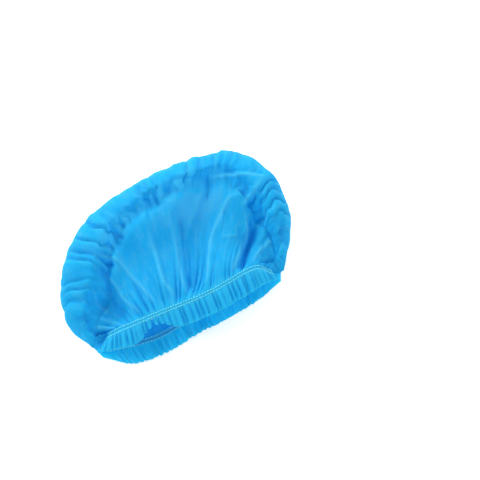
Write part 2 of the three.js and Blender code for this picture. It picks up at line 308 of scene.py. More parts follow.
# Broad folds of the top: name, place along the mouth, half the width, first and last station,
# and the rise.
FOLDS = (
    ("left_pocket", -0.68, 0.15, "front_band_in", "rim_crest", -5.5),
    ("left_rim_ridge", -0.6, 0.08, "dish_ridge", "rim_widest", 3.5),
    ("left_leaf", -0.48, 0.09, "front_band_in", "valley", 4.0),
    ("far_left_crease", -0.37, 0.07, "dish_floor", "rim_crest", -4.0),
    ("middle_leaf", -0.23, 0.09, "front_band_in", "valley", 4.5),
    ("far_crease", -0.16, 0.06, "dish_floor", "rim_crest", -4.0),
    ("middle_trough", 0.04, 0.13, "front_band_in", "valley", -6.5),
    ("far_right_crease", 0.1, 0.06, "dish_floor", "rim_crest", -4.0),
    ("right_facet", 0.37, 0.17, "front_band_in", "rim_inner", 5.2),
    ("right_trough", 0.57, 0.09, "front_band_in", "rim_inner", -7.0),
    ("right_rim_ridge", 0.68, 0.07, "dish_near", "rim_widest", 3.0),
)

# Sharp creases that run from the mouth towards the rim: name, then four times the row and the
# place along the mouth, then how far they reach to the left and right, and their rise.
CREASES = (
    ("kite_left", 3.4, 0.165, 5.2, 0.115, 6.3, 0.205, 7.4, 0.310, 2.2, 12.0, 3.0),
    ("kite_right", 3.3, 0.456, 5.0, 0.512, 6.0, 0.515, 7.1, 0.392, 12.0, 2.2, 3.4),
    ("kite_shadow", 3.4, 0.495, 5.0, 0.552, 6.0, 0.558, 7.3, 0.440, 2.6, 8.0, -4.2),
    ("flap_arm", 6.9, 0.388, 7.9, 0.402, 9.6, 0.443, 10.7, 0.447, 6.0, 2.2, 3.0),
    ("flap_arm_shadow", 7.1, 0.430, 8.2, 0.445, 9.6, 0.482, 10.5, 0.492, 2.6, 6.0, -3.0),
    ("flap_left", 6.6, 0.088, 7.5, 0.088, 8.1, 0.094, 8.8, 0.100, 3.0, 2.0, -3.2),
    ("middle_ridge", 3.4, -0.135, 4.2, -0.208, 5.6, -0.222, 6.8, -0.230, 6.0, 2.4, 2.6),
    ("second_ridge", 3.4, -0.030, 4.4, -0.088, 5.6, -0.102, 6.8, -0.112, 6.0, 2.0, 2.2),
    ("second_valley", 3.4, 0.010, 4.6, -0.050, 5.8, -0.062, 6.8, -0.076, 3.0, 7.0, -4.5),
    ("left_ridge", 3.5, -0.330, 5.1, -0.400, 7.3, -0.446, 10.4, -0.518, 2.4, 6.0, 2.8),
    ("pocket_top", 6.8, -0.465, 7.5, -0.474, 8.3, -0.484, 9.3, -0.505, 3.6, 3.0, -3.4),
    ("pocket_lip", 3.5, -0.500, 5.4, -0.540, 6.7, -0.533, 8.3, -0.517, 2.4, 5.0, 2.4),
    ("pocket", 4.4, -0.600, 6.0, -0.600, 7.4, -0.583, 8.8, -0.550, 8.0, 5.0, -3.0),
    ("pocket_outer", 6.2, -0.700, 7.6, -0.690, 8.5, -0.661, 9.4, -0.645, 6.0, 2.4, 1.4),
    ("low_ridge", 3.4, -0.680, 4.6, -0.720, 6.0, -0.750, 7.6, -0.780, 3.0, 4.0, 1.5),
    ("low_dark", 3.5, -0.740, 5.0, -0.790, 6.5, -0.815, 8.3, -0.830, 4.0, 3.0, -3.0),
    ("low_fan", 3.4, -0.800, 5.0, -0.830, 6.5, -0.855, 8.3, -0.872, 3.0, 4.0, 2.4),
    ("low_fold", 3.3, -0.890, 5.0, -0.910, 6.5, -0.925, 8.8, -0.950, 2.6, 2.6, -5.5),
    ("upper_left", 7.0, -0.342, 8.0, -0.350, 9.2, -0.358, 10.9, -0.368, 2.4, 4.0, -4.0),
    ("upper_left_lip", 7.2, -0.330, 8.3, -0.331, 9.5, -0.334, 10.9, -0.340, 3.0, 3.0, 1.6),
    ("upper_left_second", 7.7, -0.311, 8.5, -0.311, 9.4, -0.311, 10.6, -0.311, 2.4, 3.6, -3.4),
    ("upper_middle", 7.3, -0.139, 8.3, -0.141, 9.2, -0.143, 10.2, -0.146, 2.4, 3.4, -3.6),
    ("upper_second", 6.8, -0.202, 7.3, -0.198, 7.9, -0.192, 8.8, -0.186, 2.2, 3.4, -2.4),
    ("right_low", 3.6, 0.700, 5.0, 0.730, 6.2, 0.765, 8.2, 0.800, 4.0, 3.0, 2.4),
    ("right_gap", 3.6, 0.800, 4.6, 0.865, 5.6, 0.895, 7.6, 0.920, 3.0, 3.0, -3.0),
)

# Sharp creases that run along the mouth, given in the same way with row and place exchanged,
# and with how far they reach towards the mouth and the rim.
CROSS_CREASES = (
    ("kite_fold", 0.22, 5.20, 0.29, 5.22, 0.36, 5.30, 0.44, 5.46, 2.0, 2.6, 1.2),
    ("flap_edge", 0.09, 8.20, 0.22, 8.70, 0.34, 10.00, 0.46, 10.70, 7.0, 2.4, 2.8),
    ("flap_back", 0.09, 8.65, 0.22, 9.15, 0.34, 10.40, 0.46, 11.00, 2.6, 4.0, -2.4),
    ("far_seam", -0.07, 9.80, -0.02, 9.45, 0.03, 9.00, 0.10, 8.30, 3.0, 2.4, -2.8),
)

# Depth of the gathers by row: full on the hems, flat under the stitches, fading in the dish.
GATHER = table(
    ("row", "depth"),
    (
        (0.0, 3.6), (1.0, 3.2), (1.6, 2.1), (2.0, 0.7), (2.5, 0.5), (3.0, 0.8), (3.4, 1.8),
        (4.0, 1.6), (4.6, 0.8), (5.4, 0.2), (6.0, 0.0), (16.5, 0.0), (17.0, 0.6), (18.0, 0.45),
        (19.0, 0.45), (20.0, 1.8), (21.0, 2.6),
    ),
)

# Fans of wrinkles: name, knots of noise to one unit along the mouth and to one row, seed and
# height, their span of rows, the share of the mouth at each weld over which they grow, and how
# sharp their edges are.
WRINKLES = (
    ("dish_broad", 5.0, 0.30, 31, 3.8, 3.2, 4.8, 7.0, 8.8, 0.4, 2.6),
    ("dish_middle", 10.0, 0.34, 32, 2.4, 2.9, 3.8, 6.0, 8.2, 0.4, 2.4),
    ("dish_fine", 20.0, 0.50, 33, 0.8, 2.9, 3.4, 5.2, 7.4, 0.4, 2.8),
    ("rim_broad", 8.0, 0.22, 34, -4.4, 6.4, 8.2, 10.4, 12.2, 0.1, 1.8),
    ("rim_crimp", 18.0, 0.12, 35, -7.5, 7.0, 8.6, 11.2, 12.1, 0.1, 2.8),
    ("rim_side", 13.0, 0.30, 37, -3.4, 11.2, 12.4, 13.2, 14.0, 0.1, 1.8),
    ("rim_fine", 36.0, 0.25, 36, -1.6, 8.0, 9.4, 11.2, 12.1, 0.1, 2.4),
)

# Slow unevenness of the loose cloth: its span of rows, then height, knots of noise to one unit
# along the mouth and to one row, and seed.
LOOSE_ROWS = (3.0, 5.0, 13.0, 16.0)
BILLOWS = ((1.4, 6.0, 0.7, 21), (0.4, 20.0, 1.5, 22))


def curve_through(values, places):
    """Cubic curve through the values, which stand at whole numbers, read at the places.

    Between two values the slope at each is half the step from its neighbour on one side to its
    neighbour on the other, and past the ends the values go on in a straight line.
    """
    ends = np.concatenate([2 * values[:1] - values[1:2], values, 2 * values[-1:] - values[-2:-1]])
    low = np.clip(np.floor(places).astype(int), 0, len(values) - 2)
    part = (places - low).reshape((-1,) + (1,) * (values.ndim - 1))
    before, here, there, after = (ends[low + step] for step in range(4))
    bend = 2 * before - 5 * here + 4 * there - after
    twist = 3 * (here - there) + after - before
    return here + 0.5 * part * (there - before + part * (bend + part * twist))


def ease(value, start, end):
    """0 up to start, 1 from end on, and a smooth S between them."""
    part = np.clip((value - start) / (end - start), 0.0, 1.0)
    return part * part * (3.0 - 2.0 * part)


def within(value, begin, full, fade, end):
    """0 outside begin and end, 1 from full to fade, and a smooth S on each side."""
    return ease(value, begin, full) * ease(-value, -end, -fade)


def unit(vectors):
    """The vectors at length 1."""
    return vectors / np.maximum(np.linalg.norm(vectors, axis=-1, keepdims=True), SHORTEST)


def grain(across, along, seed):
    """Seeded smooth noise about 0, from -1 to 1.

    Every knot of a square net has a random slope. Between knots the four slopes are read at
    the distance from each and eased into one another.
    """
    draw = np.random.default_rng(seed)
    angle = draw.uniform(0.0, 2.0 * np.pi, (NOISE_KNOTS, NOISE_KNOTS))
    low_x = np.floor(across).astype(int)
    low_y = np.floor(along).astype(int)
    part_x = across - low_x
    part_y = along - low_y
    corners = []
    for step_y in (0, 1):
        for step_x in (0, 1):
            way = angle[(low_y + step_y) % NOISE_KNOTS, (low_x + step_x) % NOISE_KNOTS]
            corners.append(np.cos(way) * (part_x - step_x) + np.sin(way) * (part_y - step_y))
    ease_x = ease(part_x, 0.0, 1.0)
    ease_y = ease(part_y, 0.0, 1.0)
    near = corners[0] * (1.0 - ease_x) + corners[1] * ease_x
    far = corners[2] * (1.0 - ease_x) + corners[3] * ease_x
    return NOISE_GAIN * (near * (1.0 - ease_y) + far * ease_y)


def way_out(angle):
    """Level direction out of the mouth, turned by the angle towards the right weld."""
    return np.stack([np.sin(angle), -np.cos(angle)], 1)


def weld_taper(at):
    """Share of the gathers along the mouth: whole, but small at the two welds."""
    return WELD_GATHER + (1.0 - WELD_GATHER) * ease(1.0 - np.abs(at), 0.0, WELD_GATHER_REACH)


def smooth_sheet(at, rows):
    """Points of the sheet without its folds, by row and then by place along the mouth.

    Each column is a chain of stations. On a hem a station lies straight out from the band. On
    the top and floor it lies on a bent line from the band to the rim, at its share of the way.
    Its height is the sum of its shares of the lip, dish, ridge and crest. A cubic curve through
    the stations gives the rows between them.
    """
    last = len(SECTIONS["at"]) - 1
    places = (at + 1.0) / 2.0 * last
    size = {name: curve_through(values.astype(float), places) for name, values in SECTIONS.items()}
    valley = size["valley"]
    rim_line = np.stack([SECTIONS["rim_x"], SECTIONS["rim_y"]], 1).astype(float)
    rim = curve_through(rim_line, places)
    ahead = curve_through(rim_line, np.clip(places + RIM_STRIDE, 0, last))
    behind = curve_through(rim_line, np.clip(places - RIM_STRIDE, 0, last))
    step = ahead - behind
    outward = unit(np.stack([-step[:, 1], step[:, 0]], 1))
    front_way = way_out(-FRONT_FLARE * np.maximum(-at, 0.0) ** FLARE_BEND)
    back_way = way_out(-BACK_TUCK * at**TUCK_BEND)
    arch = ARCH_RISE * np.exp(-np.abs((at - ARCH_AT) / ARCH_HALF_WIDTH) ** ARCH_BEND)
    chain = []
    for row in range(len(STATIONS["name"])):
        station = {name: values[row] for name, values in STATIONS.items()}
        lower = station["layer"] == 1
        hem_way = back_way if lower else front_way
        mouth = ("back_x", "back_y") if lower else ("mouth_x", "mouth_y")
        plan = np.stack([size[name] for name in mouth], 1)
        height = sum(station[name] * size[name] for name in ("lip", "dish", "ridge", "crest"))
        lift = station["lift"] * weld_taper(at)
        if np.isnan(station["hem"]):
            start = plan - HALF_BAND * hem_way
            turn = rim - outward * FAN * np.linalg.norm(start - rim, axis=1, keepdims=True)
            share = (valley * station["inner"] + (1 - valley) * station["outer"])[:, None]
            spot = (1 - share) ** 2 * start + 2 * share * (1 - share) * turn + share**2 * rim
            level = np.maximum(height, lift)
        else:
            width = size["back_hem"] if lower else size["front_hem"] - arch
            spot = plan + hem_way * (HALF_BAND + station["hem"] * (width - HALF_BAND))[:, None]
            droop = np.minimum(HEM_DROOP, size["lip"] * DROOP_SHARE) * station["hem"] ** DROOP_BEND
            level = lift if lower else height - droop
        chain.append(np.concatenate([spot, level[:, None]], 1))
    sheet = curve_through(np.array(chain), rows)
    sheet[..., 2] = np.maximum(sheet[..., 2], 0.0)
    return sheet


def sheet_directions(points, at, rows):
    """Millimetres to one unit along the mouth and to one row, and the outward normal.

    The two slopes are differences between neighbouring points, and the normal is their cross
    product.
    """
    along_mouth = np.gradient(points, at, axis=1)
    along_rows = np.gradient(points, rows, axis=0)
    normal = unit(np.cross(along_mouth, along_rows))
    return np.linalg.norm(along_mouth, axis=-1), np.linalg.norm(along_rows, axis=-1), normal


def gathers(at, rows, mouth_scale):
    """Pleats of uneven width and depth: nearly flat panels, each a little tilted, and grooves.

    A groove is a bell curve across the mouth, measured in millimetres. The depth goes by row.
    """
    draw = np.random.default_rng(PLEAT_SEED)
    spread = np.arange(PLEATS) + 0.5 + draw.uniform(-PLEAT_SHIFT, PLEAT_SHIFT, PLEATS)
    middle = 2.0 * spread / PLEATS - 1.0
    deep = draw.choice(GROOVE_DEPTHS, PLEATS)
    wide = draw.uniform(*GROOVE_WIDTHS, PLEATS)
    slant = draw.uniform(-PANEL_TILT, PANEL_TILT, PLEATS + 1)
    offset = (at[None, None, :] - middle[:, None, None]) * mouth_scale[None]
    groove = (deep[:, None, None] * np.exp(-((offset / wide[:, None, None]) ** 2))).sum(0)
    panel = np.interp(at, middle, np.arange(PLEATS, dtype=float))
    tilt = slant[np.floor(panel).astype(int)] * (panel % 1.0 - 0.5)
    depth = np.interp(rows, GATHER["row"], GATHER["depth"])
    on_kite = np.exp(-(((at - KITE_AT) / KITE_HALF_WIDTH) ** KITE_SQUARENESS))
    drawn_flat = ease(rows, *KITE_ROWS)[:, None] * on_kite[None, :]
    depth = depth[:, None] * (1.0 - KITE_FLATNESS * drawn_flat)
    relief = PANEL_SHARE - GROOVE_SHARE * groove + TILT_SHARE * tilt[None, :]
    return depth * relief * weld_taper(at)[None, :]


def wrinkles(smooth, at, rows):
    """Fans of branching ridges: each lies where stretched noise, bent by slower noise, is near 0.

    The noise is read by the way gone along each row of the smooth sheet, as a share of the row
    from -1 to 1, so the ridges of a fan stand evenly. More slow noise varies their height.
    """
    steps = np.diff(smooth, axis=1, prepend=smooth[:, :1])
    gone = np.cumsum(np.linalg.norm(steps, axis=-1), axis=1)
    place = 2.0 * gone / gone[:, -1:] - 1.0
    row = np.broadcast_to(rows[:, None], place.shape)
    bend = BEND_REACH * grain(place * BEND_PER_MOUTH + BEND_START, row * BEND_PER_ROW, BEND_SEED)
    total = np.zeros(place.shape)
    for _, per_mouth, per_row, seed, height, *span, taper, sharp in WRINKLES:
        value = grain((place + bend + 1.0) * per_mouth, row * per_row, seed)
        ridge = np.exp(-sharp * np.abs(value)) - WRINKLE_FOOT
        slow = grain(place * UNEVEN_PER_MOUTH + seed, row * UNEVEN_PER_ROW, seed + UNEVEN_SEED_STEP)
        uneven = UNEVEN_MEAN + UNEVEN_SWING * slow
        grown = ease(1.0 - np.abs(at), 0.0, taper)
        total += height * within(rows, *span)[:, None] * ridge * uneven * grown[None, :]
    return total


def broad_folds(at, rows):
    """Sum of the broad folds: each a rounded hump along the mouth that fades in and out by row."""
    total = np.zeros((len(rows), len(at)))
    for _, middle, width, start, end, rise in FOLDS:
        reach = ease(rows - ROW[start], 0.0, FOLD_FADE) * ease(ROW[end] - rows, 0.0, FOLD_FADE)
        hump = np.cos(np.clip((at - middle) / width, -1.0, 1.0) * np.pi / 2) ** 2
        total += rise * reach[:, None] * hump[None, :]
    return total


def crease_lines(lines, along, across, scale, span):
    """Rise of the creases by place along and across, and a value that is 1 on each painted
    highlight.

    A crease's line is a cubic curve through its four places. Its rise is whole on the line and
    falls away by a rounded exponential, with a reach of its own on each side. The painted
    highlight along a ridge is a bell curve. Both are measured across the line in millimetres.
    """
    total = np.zeros(scale.shape)
    edge = np.zeros(scale.shape)
    for _, *places, before, after, rise in lines:
        stops = np.array(places[0::2])
        turns = np.array(places[1::2])
        line = curve_through(turns, np.interp(along, stops, np.arange(len(stops), dtype=float)))
        seen = within((along - stops[0]) / (stops[-1] - stops[0]), *span)[:, None]
        offset = (across[None, :] - line[:, None]) * scale
        reach = np.where(offset < 0.0, before, after)
        fall = np.sqrt((offset / reach) ** 2 + CREASE_ROUNDING**2) - CREASE_ROUNDING
        total += seen * rise * np.exp(-fall)
        # Painted highlight along the top of a ridge.
        highlight = max(rise, 0.0) / RIDGE_HIGHLIGHT_RISE * np.exp(-((offset / RIDGE_HIGHLIGHT_WIDTH) ** 2))
        edge = np.maximum(edge, seen * highlight)
    return total, edge


def creases(at, rows, mouth_scale, row_scale):
    """Rise and painted highlights of all creases: the sum of the rises, and the strongest highlight.
    """
    rise, edge = crease_lines(CREASES, rows, at, mouth_scale, CREASE_SPAN)
    cross_rise, cross_highlight = crease_lines(CROSS_CREASES, at, rows, row_scale.T, CROSS_SPAN)
    return rise + cross_rise.T, np.maximum(edge, cross_highlight.T)


def soft_billows(at, rows):
    """Slow unevenness of the loose cloth, a sum of noises, with none on the bands and hems."""
    place, row = np.broadcast_arrays(at[None, :], rows[:, None])
    rise = sum(
        height * grain(place * per_mouth, row * per_row, seed)
        for height, per_mouth, per_row, seed in BILLOWS
    )
    return within(rows, *LOOSE_ROWS)[:, None] * rise


def crown_points(at, rows):
    """Points and normals of the folded sheet, with nothing under the floor.

    The smooth sheet moves along its normal by the sum of all folds. The front band is drawn in
    where the elastic pulls. Near an end both layers come together at the height of the weld.
    """
    smooth = smooth_sheet(at, rows)
    mouth_scale, row_scale, normal = sheet_directions(smooth, at, rows)
    rise = gathers(at, rows, mouth_scale) + wrinkles(smooth, at, rows) + broad_folds(at, rows)
    rise = rise + creases(at, rows, mouth_scale, row_scale)[0] + soft_billows(at, rows)
    drawn_in = CINCH * np.exp(-(((rows - FRONT_BAND_ROW) / CINCH_ROWS) ** 2))
    points = smooth + normal * (rise - drawn_in[:, None])[..., None]
    points[..., 2] = np.maximum(points[..., 2], FLOOR_GAP)
    lower = rows > ROW["rim_widest"]
    reach = np.where(lower, LOWER_WELD_REACH, WELD_REACH)
    open_share = ease((1.0 - np.abs(at))[None, :] / reach[:, None], 0.0, 1.0)
    level = WELD_HEIGHT + WELD_LAYER * np.where(lower, -0.5, 0.5)[:, None]
    points[..., 2] = level + (points[..., 2] - level) * open_share
    return points, sheet_directions(points, at, rows)[2]


def cloth_shades(at, rows):
    """Values at every point that the finish of the cloth reads, by name.

    thin is a bell-shaped patch of the top. hem is 1 on the front hem and less on the back one;
    the hems are tinted brighter by it, which is painted light. The painted shade grows with the
    depth of crimps, creases and grooves, is raised near the mouth, and is high inside the mouth.
    edge is painted highlight along ridges, and painted light between the crimps on the inner side
    of the far rim, where the painted shade is also lessened.
    """
    smooth = smooth_sheet(at, rows)
    mouth_scale, row_scale, _ = sheet_directions(smooth, at, rows)
    thin_at = ((at[None, :] - THIN_AT) / THIN_HALF_WIDTH) ** 2
    thin = np.exp(-thin_at - ((rows[:, None] - THIN_ROW) / THIN_ROWS) ** 2)
    front_hem = ease(ROW["front_band_in"] - rows, 0.0, HEM_FADE)
    back_hem = ease(rows - ROW["back_band_in"], 0.0, HEM_FADE)
    hem = np.broadcast_to((front_hem + BACK_HEM_SHARE * back_hem)[:, None], thin.shape)
    crease_rise, edge = creases(at, rows, mouth_scale, row_scale)
    crimps = wrinkles(smooth, at, rows) * ease(rows, *CRIMP_ROWS)[:, None]
    # Painted shade: deeper blue in crease valleys and crimp grooves.
    crease_shade = CREASE_PAINTED_SHADE * ease(-crease_rise, *CREASE_DEPTHS)
    painted_shade = np.maximum(ease(-crimps, *CRIMP_DEPTHS), crease_shade)
    # Painted light: paler cloth, with less painted shade, between the crimps on the inner side of
    # the far rim.
    lit = within(rows, *LIT_ROWS)[:, None] * within(at, *LIT_PLACES)[None, :]
    edge = np.maximum(edge, LIT_PALENESS * lit * (1.0 - painted_shade))
    painted_shade = painted_shade * (1.0 - LIT_CLEARING * lit)
    # More painted shade: in the grooves of the gathers, near the mouth, and inside the mouth.
    grooves = ease(-gathers(at, rows, mouth_scale), *GROOVE_SHADE_DEPTHS)
    mouth_shade = within(rows, *MOUTH_SHADE_ROWS)[:, None]
    painted_shade = painted_shade + mouth_shade * (MOUTH_PAINTED_SHADE + GROOVE_PAINTED_SHADE * grooves)
    painted_shade = painted_shade + INSIDE_PAINTED_SHADE * within(rows, *INSIDE_ROWS)[:, None]
    return {"thin": thin, "edge": edge, "hem": hem, "painted_shade": painted_shade}


def finish_mesh(name, points, faces, uv=None):
    """Object of the points, in millimetres as drawn, put in metres about the middle of the cap."""
    mesh = bpy.data.meshes.new(name)
    placed = (points.reshape(-1, 3) - MIDDLE) * MM
    mesh.from_pydata(placed.tolist(), [], faces)
    mesh.polygons.foreach_set("use_smooth", np.ones(len(mesh.polygons), bool))
    if uv is not None:
        corner = np.empty(len(mesh.loops), int)
        mesh.loops.foreach_get("vertex_index", corner)
        mesh.uv_layers.new(name="cloth").data.foreach_set("uv", uv.reshape(-1, 2)[corner].ravel())
    mesh.update()
    piece = bpy.data.objects.new(name, mesh)
    bpy.context.scene.collection.objects.link(piece)
    return piece


def net_faces(rows, columns, shut=False):
    """Corners of a net's four-sided faces, row by row.

    A shut net also joins its last column to its first.
    """
    first = np.arange(rows - 1)[:, None] * columns
    after = first + columns
    left = np.arange(columns if shut else columns - 1)[None, :]
    right = (left + 1) % columns
    return np.stack([first + left, first + right, after + right, after + left], -1).reshape(-1, 4)


def net_map(across, along):
    """Flat map of a net: across goes by column and along by row."""
    return np.stack(np.broadcast_arrays(across, along), -1)


def make_crown():
    """The whole sheet as one net, thickened inwards, with the shades of its cloth.

    Its map goes from weld to weld, and from hem to hem by the length of the middle column.
    """
    at = np.linspace(-1.0, 1.0, COLUMNS)
    steps = STATIONS["rows"][:-1].astype(int)
    rows = np.concatenate([np.arange(count) / count + row for row, count in enumerate(steps)])
    rows = np.append(rows, float(len(steps)))
    points, _ = crown_points(at, rows)
    middle = smooth_sheet(np.zeros(1), rows)[:, 0]
    length = np.append(0.0, np.cumsum(np.linalg.norm(np.diff(middle, axis=0), axis=1)))
    uv = net_map((at[None, :] + 1.0) / 2.0, (length / length[-1])[:, None])
    crown = finish_mesh("crown_sheet", points, net_faces(len(rows), len(at)).tolist(), uv)
    for name, values in cloth_shades(at, rows).items():
        layer = crown.data.attributes.new(name, "FLOAT", "POINT")
        layer.data.foreach_set("value", values.ravel())
    wall = crown.modifiers.new("cloth_thickness", "SOLIDIFY")
    wall.thickness = SHEET_THICKNESS * MM
    wall.offset = -1.0
    return crown


def band_frame(at, row):
    """Smooth points, across directions and outward normals along the middle of a band.

    The band reaches half a row to each side. The normal is square to it and to its length.
    """
    smooth = smooth_sheet(at, np.array([row - 0.5, row, row + 0.5]))
    across = unit(smooth[2] - smooth[0])
    along = unit(np.gradient(smooth[1], at, axis=0))
    normal = unit(np.cross(along, across))
    return smooth[1], unit(np.cross(normal, along)), normal


def make_elastic(name, row):
    """Flat elastic: a ribbed, round-edged strip profile carried along the inner face of a band.

    The profile's half height is a rounded oblong times a squared cosine for the ribs, and it
    ripples a little along the band.
    """
    at = np.linspace(-ELASTIC_END, ELASTIC_END, ELASTIC_STEPS)
    middle, across, normal = band_frame(at, row)
    side = np.linspace(-1.0, 1.0, ELASTIC_SIDE_STEPS)
    edge = np.sqrt(np.clip(1.0 - side**ELASTIC_SQUARENESS, 0.0, 1.0))
    ribs = np.cos(np.pi * ELASTIC_RIBS * side) ** 2
    swell = ELASTIC_THICKNESS / 2.0 * edge * (1.0 - ELASTIC_RIB_DEPTH * (1.0 - ribs))
    reach = ELASTIC_WIDTH / 2.0 * np.concatenate([side, side[-2:0:-1]])
    height = np.concatenate([swell, -swell[-2:0:-1]])
    ripple = 1.0 + ELASTIC_RIPPLE_DEPTH * np.cos(np.pi * ELASTIC_RIPPLES * (at + 1.0))
    lift = height[None, :] * ripple[:, None] - (ELASTIC_TOP + ELASTIC_THICKNESS / 2.0)
    points = middle[:, None] + across[:, None] * reach[None, :, None]
    points = points + normal[:, None] * lift[..., None]
    loop = len(reach)
    faces = net_faces(len(at), loop, shut=True)[:, ::-1].tolist()
    faces.append(list(range(loop)))
    faces.append(list(range(len(at) * loop - 1, (len(at) - 1) * loop - 1, -1)))
    uv = net_map(np.linspace(0.0, 1.0, len(at))[:, None], np.linspace(0.0, 1.0, loop)[None, :])
    return finish_mesh(name, points, faces, uv)


def stitch_line(at, band, shift, inner):
    """Points and ways up along a row of stitches, shifted by parts of a row from the band's middle.

    It lies on the folded cloth, or on the inner face of the elastic.
    """
    if inner:
        middle, across, normal = band_frame(at, band)
        depth = ELASTIC_TOP + ELASTIC_THICKNESS
        return middle + across * (shift * 2.0 * HALF_BAND) - normal * depth, -normal
    rows = band + shift + np.array([-STITCH_ROW_STEP, 0.0, STITCH_ROW_STEP])
    points, normals = crown_points(at, rows)
    return points[1], normals[1]


def make_stitches(name, band, seam):
    """Short rounded stitches in rows. Each is a six-sided bar that thins at both ends and bows up.

    A stitch lies along the chord between two points of its row, slewed a little at random.
    """
    ring = np.linspace(-1.0, 1.0, STITCH_RINGS)
    turn = np.arange(STITCH_SIDES) * 2.0 * np.pi / STITCH_SIDES
    thinning = STITCH_THINNING * ring**STITCH_ROUNDNESS
    thick = STITCH_WIDTH / 2.0 * np.sqrt(np.clip(1.0 - thinning, 0.0, 1.0))
    bow = STITCH_BOW * (1.0 - ring**2)
    lift = bow[:, None] + thick[:, None] * np.cos(turn)
    spread = thick[:, None] * np.sin(turn)
    at = np.linspace(-STITCH_END, STITCH_END, STITCH_COUNT * STITCH_STEPS + 1)
    first = np.arange(STITCH_STEPS // 2, STITCH_COUNT * STITCH_STEPS, STITCH_STEPS)
    bars = []
    for number, (shift, inner) in enumerate(seam):
        draw = np.random.default_rng(STITCH_SEED + number)
        centre, up = stitch_line(at, band, shift, inner)
        pick = first + number % 2 * STITCH_STAGGER
        span = pick[:, None] + np.array([-STITCH_HALF_STEPS, STITCH_HALF_STEPS])
        ends = centre[np.clip(span, 0, len(at) - 1)]
        chord = ends[:, 1] - ends[:, 0]
        along = unit(chord)
        rise = up[pick]
        rise = unit(rise - along * (rise * along).sum(1, keepdims=True))
        beside = np.cross(along, rise)
        along = unit(along + draw.uniform(-STITCH_SLEW, STITCH_SLEW, len(pick))[:, None] * beside)
        length = np.minimum(STITCH_LENGTH, STITCH_FIT * np.linalg.norm(chord, axis=1))
        length = length * draw.uniform(*STITCH_LENGTHS, len(pick))
        middle = 0.5 * (centre[pick] + ends.mean(1)) + rise * STITCH_SEAT
        reach = 0.5 * length[:, None] * ring
        bar = middle[:, None, None] + along[:, None, None] * reach[..., None, None]
        bar = bar + rise[:, None, None] * lift[None, ..., None]
        bars.append(bar + beside[:, None, None] * spread[None, ..., None])
    points = np.concatenate(bars)
    count, rings, sides = points.shape[:3]
    start = np.arange(count)[:, None, None] * rings * sides
    faces = (net_faces(rings, sides, shut=True)[None] + start).reshape(-1, 4).tolist()
    cap = np.arange(sides)
    faces += (cap[None, ::-1] + start[:, 0]).tolist()
    faces += (cap[None] + (rings - 1) * sides + start[:, 0]).tolist()
    return finish_mesh(name, points, faces)


def new_material(name):
    """Material that has only its output node, its node tree, and the surface it shows."""
    material = bpy.data.materials.new(name)
    material.use_nodes = True
    tree = material.node_tree
    tree.nodes.clear()
    return material, tree, tree.nodes.new("ShaderNodeOutputMaterial").inputs["Surface"]


def add_node(tree, kind, inputs, **settings):
    """New node with its settings. An input that is a socket is linked, and a value is set."""
    node = tree.nodes.new(kind)
    for name, value in settings.items():
        setattr(node, name, value)
    for place, value in inputs.items():
        if isinstance(value, bpy.types.NodeSocket):
            tree.links.new(value, node.inputs[place])
        else:
            node.inputs[place].default_value = value
    return node


def flat_map(tree):
    """Place on the piece's own flat map."""
    return add_node(tree, "ShaderNodeUVMap", {}, uv_map="cloth").outputs["UV"]


def shade(tree, name):
    """One of the values that the sheet holds at every point."""
    return add_node(tree, "ShaderNodeAttribute", {}, attribute_name=name).outputs["Fac"]


def noise(tree, source, stretch, detail, rough):
    """Noise texture read through a mapping that stretches it."""
    place = add_node(tree, "ShaderNodeMapping", {"Vector": source, "Scale": stretch})
    inputs = {"Vector": place.outputs["Vector"], "Scale": 1.0, "Detail": detail, "Roughness": rough}
    return add_node(tree, "ShaderNodeTexNoise", inputs).outputs["Fac"]


def calc(tree, kind, *values):
    """One step of arithmetic on sockets or numbers."""
    return add_node(tree, "ShaderNodeMath", dict(enumerate(values)), operation=kind).outputs["Value"]


def shared(tree, first, second, shares):
    """Sum of two values, each times its share."""
    parts = [calc(tree, "MULTIPLY", value, share) for value, share in zip((first, second), shares)]
    return calc(tree, "ADD", *parts)


def carried(tree, value, ends):
    """The value carried evenly from one range to another. An end that isn't named is 0 or 1."""
    return add_node(tree, "ShaderNodeMapRange", {"Value": value, **ends}).outputs["Result"]


def colour_ramp(tree, factor, stops):
    """Colours between the stops, by the factor."""
    node = add_node(tree, "ShaderNodeValToRGB", {"Fac": factor})
    elements = node.color_ramp.elements
    while len(elements) < len(stops):
        elements.new(0.5)
    for element, (place, colour) in zip(elements, stops):
        element.position = place
        element.color = (*colour, 1.0)
    return node.outputs["Color"]


def tinted(tree, colour, amount, share, tint):
    """The colour, moved towards the tint by the amount times the share."""
    inputs = {"Factor": calc(tree, "MULTIPLY", amount, share), "A": colour, "B": tint}
    return add_node(tree, "ShaderNodeMix", inputs, data_type="RGBA").outputs["Result"]


def raised(tree, height, strength, distance):
    """Normal of a surface that has the height raised on it, by up to the distance in metres."""
    inputs = {"Height": height, "Strength": strength, "Distance": distance}
    return add_node(tree, "ShaderNodeBump", inputs).outputs["Normal"]


def mixed(tree, factor, first, second):
    """Two surfaces mixed by the factor."""
    inputs = {0: factor, 1: first, 2: second}
    return add_node(tree, "ShaderNodeMixShader", inputs).outputs["Shader"]


